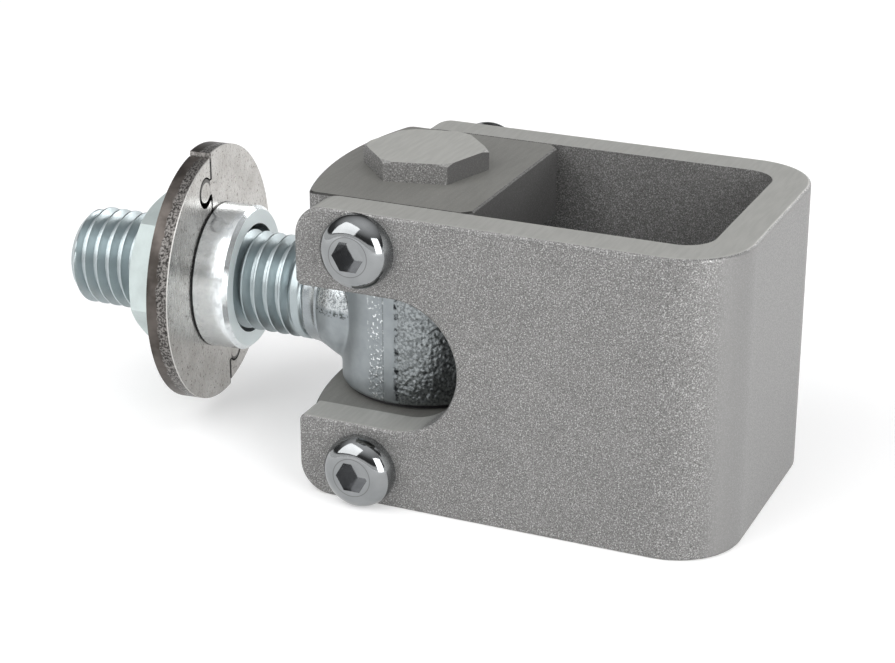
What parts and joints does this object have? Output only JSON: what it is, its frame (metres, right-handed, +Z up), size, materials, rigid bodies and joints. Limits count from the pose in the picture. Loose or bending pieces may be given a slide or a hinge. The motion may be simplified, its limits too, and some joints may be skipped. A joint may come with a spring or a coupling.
{
  "type": "adjustable gate hinge",
  "caption": "Adjustable gate hinge: U-shaped strap clamps a square gate tube, two jaws carry an upright pivot, and a threaded eye bolt with split washer, collar and nut reaches to the post.",
  "frame": {"origin": "on the swing axis, at mid height of the bracket", "axes": "+X towards the gate tube, -X along the eye bolt to the post, +Z up along the swing axis, -Y the side seen in front"},
  "size_m": [0.1318, 0.062, 0.0555],
  "materials": {
    "silver_paint": "silver paint with a fine sparkle, satin",
    "zinc_plate": "pale zinc plate, satin",
    "nylon": "natural nylon",
    "bronze": "sintered bronze, matt",
    "bearing_plastic": "dark bearing plastic",
    "zinc_forging": "bright zinc plate over a forged surface",
    "bare_steel": "ground face, rough punched rim",
    "bright_screw": "polished"
  },
  "bodies": {
    "gate_bracket": {"u_bracket": "silver_paint", "upper_jaw": "silver_paint", "lower_jaw": "silver_paint", "pivot_bolt": "silver_paint", "pivot_nut": "zinc_plate", "pivot_nut_ring": "nylon", "pivot_sleeve": "zinc_plate", "front_upper_screw": "bright_screw", "front_lower_screw": "bright_screw", "rear_upper_screw": "bright_screw", "rear_lower_screw": "bright_screw"},
    "eye_bolt": {"eye_bolt": "zinc_forging", "upper_bush": "bronze", "lower_bush": "bronze", "upper_thrust_washer": "bearing_plastic", "lower_thrust_washer": "bearing_plastic"},
    "washer_stack": {"split_washer_front": "bare_steel", "split_washer_rear": "bare_steel", "collar": "zinc_forging"},
    "post_nut": {"post_nut": "zinc_plate"}
  },
  "joints": [
    {"name": "swing", "type": "hinge", "parent": "gate_bracket", "child": "eye_bolt", "pos_m": [0, 0, 0], "axis": [0, 0, 1], "range_deg": [-105, 105]},
    {"name": "nut_travel", "type": "slide", "parent": "eye_bolt", "child": "washer_stack", "axis": [-1, 0, 0], "range_m": [-0.0012, 0.0115]},
    {"name": "nut_turn", "type": "hinge", "parent": "washer_stack", "child": "post_nut", "pos_m": [-0.0497, 0, 0], "axis": [-1, 0, 0], "range_deg": [-173, 1657]}
  ],
  "couplings": [
    {"joint": "nut_turn", "follows": "nut_travel", "rad_per_m": 2513.3}
  ]
}
